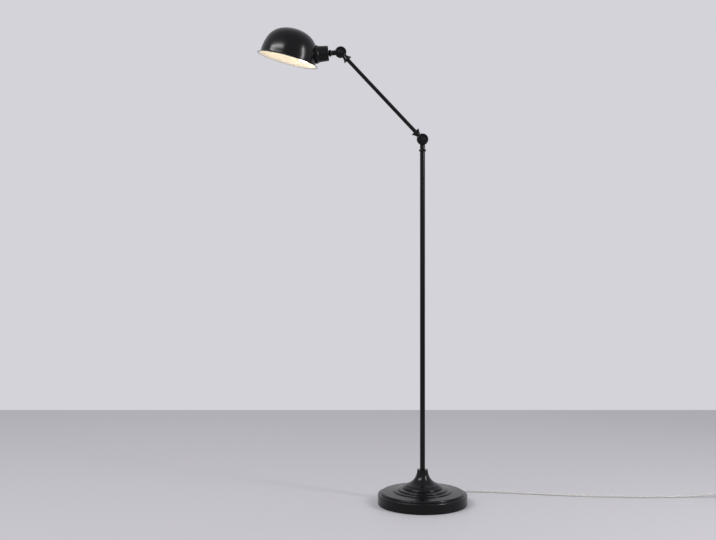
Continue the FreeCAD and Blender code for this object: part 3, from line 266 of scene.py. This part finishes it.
# %% [markdown]
# ## The free cord
#
# A lamp like this has a thin clear cord, 6 mm across, with two cores that show through. It
# leaves the base low at the back, drops to the floor at once and runs off to the right, where
# the foot switch is. It is one smooth curve with a few control points, because a real cord has
# no corners. A NURBS curve of order 3 is pulled towards its points and rounds each turn.

# %% Cord route and its curve
CORD_DIAMETER = 0.006
CURVE_ORDER = 3
CURVE_STEPS = 8
CORD_BEVEL_STEPS = 4
POWER_ROUTE = [
    (0.11667, 0.11667, 0.0095), (0.133, 0.133, 0.0095), (0.157, 0.147, 0.0062),
    (0.195, 0.151, 0.0031), (0.245, 0.1435, 0.003), (0.300, 0.1315, 0.003),
    (0.360, 0.121, 0.003), (0.420, 0.1075, 0.003), (0.480, 0.0965, 0.003),
    (0.545, 0.086, 0.003), (0.620, 0.081, 0.003), (0.700, 0.0745, 0.003),
    (0.775, 0.076, 0.003), (0.840, 0.0815, 0.003), (0.882, 0.0823, 0.0033),
    (0.914, 0.0809, 0.0072), (0.934, 0.080, 0.010), (0.950, 0.080, 0.010),
]


def smooth_curve(name, route):
    """A cord on one open NURBS spline, with the route as its control points."""
    data = bpy.data.curves.new(name, "CURVE")
    data.dimensions = "3D"
    data.resolution_u = CURVE_STEPS
    spline = data.splines.new("NURBS")
    spline.points.add(len(route) - 1)
    for point, place in zip(spline.points, route):
        point.co = (*place, 1.0)
    spline.order_u = CURVE_ORDER
    spline.use_endpoint_u = True
    data.bevel_depth = CORD_DIAMETER / 2
    data.bevel_resolution = CORD_BEVEL_STEPS
    data.use_fill_caps = True
    data.materials.append(clear_pvc)
    cord = bpy.data.objects.new(name, data)
    scene.collection.objects.link(cord)
    return cord


power_cord = smooth_curve("clear_power_cord", POWER_ROUTE)

# %% [markdown]
# ## The put-away coil
#
# The length that the picture doesn't show is wound up on the floor, just outside the picture:
# two and a half turns spiralling in, half a turn that climbs onto a second layer, and two turns
# back out. Each turn is sixteen control points on a circle a little larger than the turn,
# because the curve cuts inside its points. The radii are in millimetres, one for each end of
# a half turn, and the lead and the tail join the coil to the switch and the plug.

# %% Coil route
COIL_CENTRE = Vector((1.040, 0.008, 0.0))
COIL_START = math.radians(-15)
LAYER_RISE = 0.0068
COIL_RADII = [41.5, 38.1, 34.7, 31.3, 27.9, 23.7, 23.7, 27.9, 31.3, 34.7, 38.1]
CLIMBING_HALF = 5
POINTS_PER_HALF = 8

LEAD_IN = [
    (1.042, 0.080, 0.010), (1.056, 0.080, 0.010), (1.069, 0.0746, 0.008),
    (1.0789, 0.0647, 0.006), (1.0843, 0.0518, 0.0042), (1.0862, 0.035, 0.0032),
    (1.0853, 0.0167, 0.003),
]
TAIL = [
    (1.0722, -0.0193, 0.0098), (1.0649, -0.0301, 0.0086), (1.0545, -0.0379, 0.0075),
    (1.0421, -0.0421, 0.0069), (1.024, -0.0444, 0.00685), (1.006, -0.045, 0.00685),
    (0.9895, -0.045, 0.00685),
]


def coil_points():
    """Half turns, clockwise from above; the radius changes evenly along each of them."""
    points = []
    outside = 1 / math.cos(math.pi / (2 * POINTS_PER_HALF))
    height = CORD_DIAMETER / 2
    for half in range(len(COIL_RADII) - 1):
        rise = LAYER_RISE if half == CLIMBING_HALF else 0.0
        for step in range(POINTS_PER_HALF):
            share = (step + 0.5) / POINTS_PER_HALF
            angle = COIL_START - math.pi * (half + share)
            radius = COIL_RADII[half] * (1 - share) + COIL_RADII[half + 1] * share
            radius *= outside / MM_PER_METRE
            points.append((COIL_CENTRE.x + radius * math.cos(angle),
                           COIL_CENTRE.y + radius * math.sin(angle),
                           height + rise * share))
        height += rise
    return points


PLUG_ROUTE = LEAD_IN + coil_points() + TAIL
plug_cord = smooth_curve("clear_plug_cord", PLUG_ROUTE)
print("control points:", len(POWER_ROUTE), "and", len(PLUG_ROUTE))

# %% [markdown]
# ## The two cores inside
#
# What the eye sees in a clear cord is mostly the pair of cores. They lie side by side and
# twist slowly. Their points are read from the finished curve, then set off to each side of it.

# %% Cores that follow the cord
CORE_RADIUS = 0.00105
CORE_OFFSET = 0.00115
CORE_BEVEL_STEPS = 1
TWIST_LENGTH = 0.045


def curve_line(piece):
    """Points along the curve itself, without its thickness."""
    bare = piece.copy()
    bare.data = piece.data.copy()
    bare.data.bevel_depth = 0
    mesh = bpy.data.meshes.new_from_object(bare)
    line = [vertex.co.copy() for vertex in mesh.vertices]
    bpy.data.objects.remove(bare)
    return line


def add_core(name, line, turn):
    """One thin core, twisted around the line, starting at the given angle."""
    data = bpy.data.curves.new(name, "CURVE")
    data.dimensions = "3D"
    spline = data.splines.new("POLY")
    spline.points.add(len(line) - 1)
    walked = 0.0
    for index, place in enumerate(line):
        before = line[max(index - 1, 0)]
        after = line[min(index + 1, len(line) - 1)]
        walked += (place - before).length
        along = (after - before).normalized()
        across = along.cross(Vector((0, 0, 1))).normalized()
        upward = across.cross(along)
        angle = turn + 2 * math.pi * walked / TWIST_LENGTH
        offset = (across * math.cos(angle) + upward * math.sin(angle)) * CORE_OFFSET
        spline.points[index].co = (*(place + offset), 1.0)
    data.bevel_depth = CORE_RADIUS
    data.bevel_resolution = CORE_BEVEL_STEPS
    data.use_fill_caps = True
    data.materials.append(core_silver)
    core = bpy.data.objects.new(name, data)
    scene.collection.objects.link(core)
    return core


cores = {}
for cord, prefix in ((power_cord, "power"), (plug_cord, "plug")):
    line = curve_line(cord)
    cores[prefix] = [add_core(prefix + "_core_left", line, 0.0),
                     add_core(prefix + "_core_right", line, math.pi)]
    length = sum((b - a).length for a, b in zip(line, line[1:]))
    print(prefix, "cord runs", round(length, 3), "m")

for piece in [power_cord, plug_cord] + cores["power"] + cores["plug"]:
    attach(piece, "stand")
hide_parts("power_cord")
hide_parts("plug_lead", "cord_coil", "plug_tail")

# %% [markdown]
# ## A lathe for sheet metal
#
# The shade is spun: a flat disc of metal is pressed over a wooden form as it turns. Here the
# same shape is drawn ring by ring. A circle is extruded, lifted to the next height and scaled
# to the next radius, which is how one would do it by hand. The first and the last ring are each
# drawn together into a point, so that the skin is closed.

# %% Lathe helpers
MERGE_GAP = 1e-6


def ring_lathe(name, rings, segments):
    """A closed skin through rings of (radius, height) about the Z axis, made by extruding."""
    bpy.ops.object.select_all(action="DESELECT")
    radius, height = rings[0]
    bpy.ops.mesh.primitive_circle_add(vertices=segments, radius=radius,
                                      location=(0, 0, height))
    piece = bpy.context.object
    piece.name = name
    bpy.ops.object.transform_apply(location=True)
    bpy.ops.object.mode_set(mode="EDIT")
    bpy.ops.mesh.select_all(action="SELECT")
    for next_radius, next_height in rings[1:]:
        bpy.ops.mesh.extrude_region_move(
            TRANSFORM_OT_translate={"value": (0, 0, next_height - height)})
        share = next_radius / radius
        bpy.ops.transform.resize(value=(share, share, 1), center_override=(0, 0, next_height))
        radius, height = next_radius, next_height
    bpy.ops.mesh.merge(type="CENTER")

    # The circle's own vertices come first in the mesh. They are drawn together in the same way.
    bpy.ops.mesh.select_all(action="DESELECT")
    bpy.ops.object.mode_set(mode="OBJECT")
    for vertex in piece.data.vertices[:segments]:
        vertex.select = True
    bpy.ops.object.mode_set(mode="EDIT")
    bpy.ops.mesh.extrude_region_move(TRANSFORM_OT_translate={"value": (0, 0, 0)})
    bpy.ops.mesh.merge(type="CENTER")
    bpy.ops.mesh.select_all(action="SELECT")
    bpy.ops.mesh.remove_doubles(threshold=MERGE_GAP)
    bpy.ops.mesh.normals_make_consistent(inside=False)
    bpy.ops.object.mode_set(mode="OBJECT")
    return piece


def stand_along(piece, foot, axis):
    """Turns a piece made on the Z axis to stand on foot along axis, and fixes it there."""
    turn = Vector((0, 0, 1)).rotation_difference(Vector(axis).normalized())
    piece.data.transform(Matrix.Translation(Vector(foot)) @ turn.to_matrix().to_4x4())
    piece.data.update()


# %% [markdown]
# ## The shade
#
# Seen from the side the dome is three arcs that run into each other: a broad crown, a tighter
# haunch and an almost straight side. Below them the lip flares out in a quarter circle, runs
# level for 2 mm and ends in a rounded edge. The outside and the inside are one closed skin, so
# that the wall has its real thickness of 1 mm. The profile is in millimetres, and the origin
# is the middle of the rim.

# %% Shade profile
SHADE_CENTRE = Vector((-0.42381, 0.0, 1.39132))
SHADE_LEAN = math.radians(14.8)
SHADE_AXIS = Vector((math.sin(SHADE_LEAN), 0, math.cos(SHADE_LEAN)))
WALL = 1.0
CROWN_SWEEP, CROWN_ANGLE = 112.4, math.radians(23.6)
HAUNCH_SWEEP, HAUNCH_ANGLE = 65.7, math.radians(68.96)
DOME_HEIGHT, LIP_FLARE, LIP_LAND = 101.0, 6.0, 1.9
TIP_ANGLE, SIDE_ANGLE = math.radians(1), math.radians(90)
SIDE_STEPS, HAUNCH_STEPS, CROWN_STEPS = 6, 12, 12
FLARE_STEP, FLARE_RINGS = math.radians(15), 7
EDGE_STEP, EDGE_RINGS = math.radians(30), 7


def dome_line(inset):
    """The dome's section from the lip up to the crown, set in from the outside by inset."""
    crown_x = CROWN_SWEEP * math.sin(CROWN_ANGLE)
    crown_z = DOME_HEIGHT - CROWN_SWEEP * (1 - math.cos(CROWN_ANGLE))
    haunch_x = crown_x + HAUNCH_SWEEP * (math.sin(HAUNCH_ANGLE) - math.sin(CROWN_ANGLE))
    haunch_z = crown_z - HAUNCH_SWEEP * (math.cos(CROWN_ANGLE) - math.cos(HAUNCH_ANGLE))
    lip_top = LIP_FLARE + WALL
    side_sweep = (haunch_z - lip_top) / math.cos(HAUNCH_ANGLE)
    side_x = haunch_x + side_sweep * (1 - math.sin(HAUNCH_ANGLE))
    line = []
    arcs = [(side_x - side_sweep, lip_top, side_sweep, SIDE_ANGLE, HAUNCH_ANGLE, SIDE_STEPS),
            (haunch_x - HAUNCH_SWEEP * math.sin(HAUNCH_ANGLE),
             haunch_z - HAUNCH_SWEEP * math.cos(HAUNCH_ANGLE), HAUNCH_SWEEP,
             HAUNCH_ANGLE, CROWN_ANGLE, HAUNCH_STEPS),
            (0.0, DOME_HEIGHT - CROWN_SWEEP, CROWN_SWEEP, CROWN_ANGLE, TIP_ANGLE, CROWN_STEPS)]
    for centre_x, centre_z, sweep, start, end, steps in arcs:
        for step in range(steps):
            angle = start + (end - start) * step / steps
            line.append((centre_x + (sweep - inset) * math.sin(angle),
                         centre_z + (sweep - inset) * math.cos(angle)))
    line.append(((CROWN_SWEEP - inset) * math.sin(TIP_ANGLE), DOME_HEIGHT - inset))
    return line


def flare_line(sweep, side):
    """A quarter circle about the flare's centre, from the lip's land up to the side."""
    return [(side + LIP_FLARE - sweep * math.sin(FLARE_STEP * ring),
             WALL + LIP_FLARE - sweep * math.cos(FLARE_STEP * ring))
            for ring in range(FLARE_RINGS)]


outer_line, inner_line = dome_line(0.0), dome_line(WALL)
side_radius = outer_line[0][0]
outer_flare = flare_line(LIP_FLARE, side_radius)
inner_flare = flare_line(LIP_FLARE + WALL, side_radius)
land_start = side_radius + LIP_FLARE
rim_edge = land_start + LIP_LAND
edge = [(rim_edge + WALL / 2 * math.sin(EDGE_STEP * ring),
         WALL / 2 - WALL / 2 * math.cos(EDGE_STEP * ring)) for ring in range(EDGE_RINGS)]
print("rim radius", round(rim_edge + WALL / 2, 2), "mm")

# %% [markdown]
# The section is walked from the inside of the crown down to the lip, round its edge and back up
# outside. A face that looks back towards the middle of the rim is inside, and gets the white
# enamel. So does the underside of the flare, but not the lip's level land and its edge: they
# were masked with the outside and are black.

# %% Spin the shade and paint it
SHADE_SEGMENTS = 128
LOOKS_DOWN = -0.5
LOOKS_INWARD = -1e-6
BLACK_SLOT, WHITE_SLOT = 0, 1

section = inner_line[::-1] + inner_flare[-2::-1] + edge + outer_flare + outer_line[1:]
rings = [(radius / MM_PER_METRE, height / MM_PER_METRE) for radius, height in section]
shade = ring_lathe("spun_shade", rings, SHADE_SEGMENTS)

shade.data.materials.append(powder_coat)
shade.data.materials.append(white_enamel)
for face in shade.data.polygons:
    on_flare = face.center.xy.length < land_start / MM_PER_METRE
    underside = on_flare and face.normal.z < LOOKS_DOWN
    inside = face.normal.dot(face.center) < LOOKS_INWARD
    face.material_index = WHITE_SLOT if underside or inside else BLACK_SLOT
stand_along(shade, SHADE_CENTRE, SHADE_AXIS)

# %% [markdown]
# The side of the dome has a hole where the lampholder looks in, so a round cutter on the head's
# axis is taken out of the wall with a Boolean modifier. The curves of the shade are then shaded
# smooth, while its sharp edges stay sharp.

# %% Cut the lampholder's hole
HEAD_PIVOT = Vector((-0.256896, 0.0, 1.416184))
HEAD_DIP = math.radians(5.1)
HEAD_AXIS = Vector((-math.cos(HEAD_DIP), 0, -math.sin(HEAD_DIP)))
HOLE_RADIUS = 0.0196
HOLE_START, HOLE_DEPTH = 0.060, 0.040
HOLE_SEGMENTS = 64
SMOOTH_BELOW = math.radians(35)

bpy.ops.object.select_all(action="DESELECT")
bpy.ops.mesh.primitive_cylinder_add(vertices=HOLE_SEGMENTS, radius=HOLE_RADIUS,
                                    depth=HOLE_DEPTH,
                                    location=(0, 0, HOLE_START + HOLE_DEPTH / 2))
cutter = bpy.context.object
bpy.ops.object.transform_apply(location=True)
stand_along(cutter, HEAD_PIVOT, HEAD_AXIS)
bpy.context.view_layer.objects.active = shade
hole = shade.modifiers.new("lampholder_hole", "BOOLEAN")
hole.operation = "DIFFERENCE"
hole.object = cutter
bpy.ops.object.modifier_apply(modifier=hole.name)
bpy.data.objects.remove(cutter)
bpy.ops.object.select_all(action="DESELECT")
shade.select_set(True)
bpy.ops.object.shade_smooth_by_angle(angle=SMOOTH_BELOW)
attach(shade, "head")
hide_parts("shade")
print("shade faces:", len(shade.data.polygons))

# %% [markdown]
# ## The studio
#
# The lamp stands on a plain pale floor that ends in a straight line 1.8 m behind it. Behind
# that line is the plain pale background, which is the world itself, so that no wall hides the
# lamp from any side. Two soft lights do the work: a long strip at the front left, which gives
# the wide sheen on the dome, and a tall one at the front right for the second sheen and the
# line down the pole.

# %% Floor
FLOOR_END, FLOOR_SIZE = 1.807, 14.0
bpy.ops.object.select_all(action="DESELECT")
bpy.ops.mesh.primitive_plane_add(size=FLOOR_SIZE, location=(0, FLOOR_END - FLOOR_SIZE / 2, 0))
floor = bpy.context.object
floor.name = "studio_floor"
floor_paint = surface("pale_floor", Base_Color=colour("B2B1B4"), Roughness=0.6, IOR=1.45)
floor.data.materials.append(floor_paint)

# %% Lights
def soft_light(name, place, target, width, height, watts):
    """A rectangular studio softbox that faces the target."""
    bpy.ops.object.light_add(type="AREA", location=place)
    light = bpy.context.object
    light.name = name
    light.data.shape = "RECTANGLE"
    light.data.size, light.data.size_y = width, height
    light.data.energy = watts
    way = Vector(target) - Vector(place)
    light.rotation_euler = way.to_track_quat("-Z", "Y").to_euler()


soft_light("right_softbox", place=(1.95, -1.15, 1.75), target=(-0.1, 0.2, 0.8),
           width=0.32, height=1.2, watts=36)
soft_light("left_softbox", place=(-2.2, -1.6, 2.9), target=(-0.2, 0.4, 0.7),
           width=2.6, height=0.34, watts=72)

# %% [markdown]
# The world is one pale grey all round. It fills the shadows, and it is what the camera sees
# past the floor. At a strength of 1 it shows as it is written.

# %% The world
world = bpy.data.worlds.new("studio_air")
scene.world = world
world.use_nodes = True
air = world.node_tree.nodes["Background"]
air.inputs["Color"].default_value = colour("D4D3D9")
air.inputs["Strength"].default_value = 1.0
scene.view_settings.view_transform = "Standard"
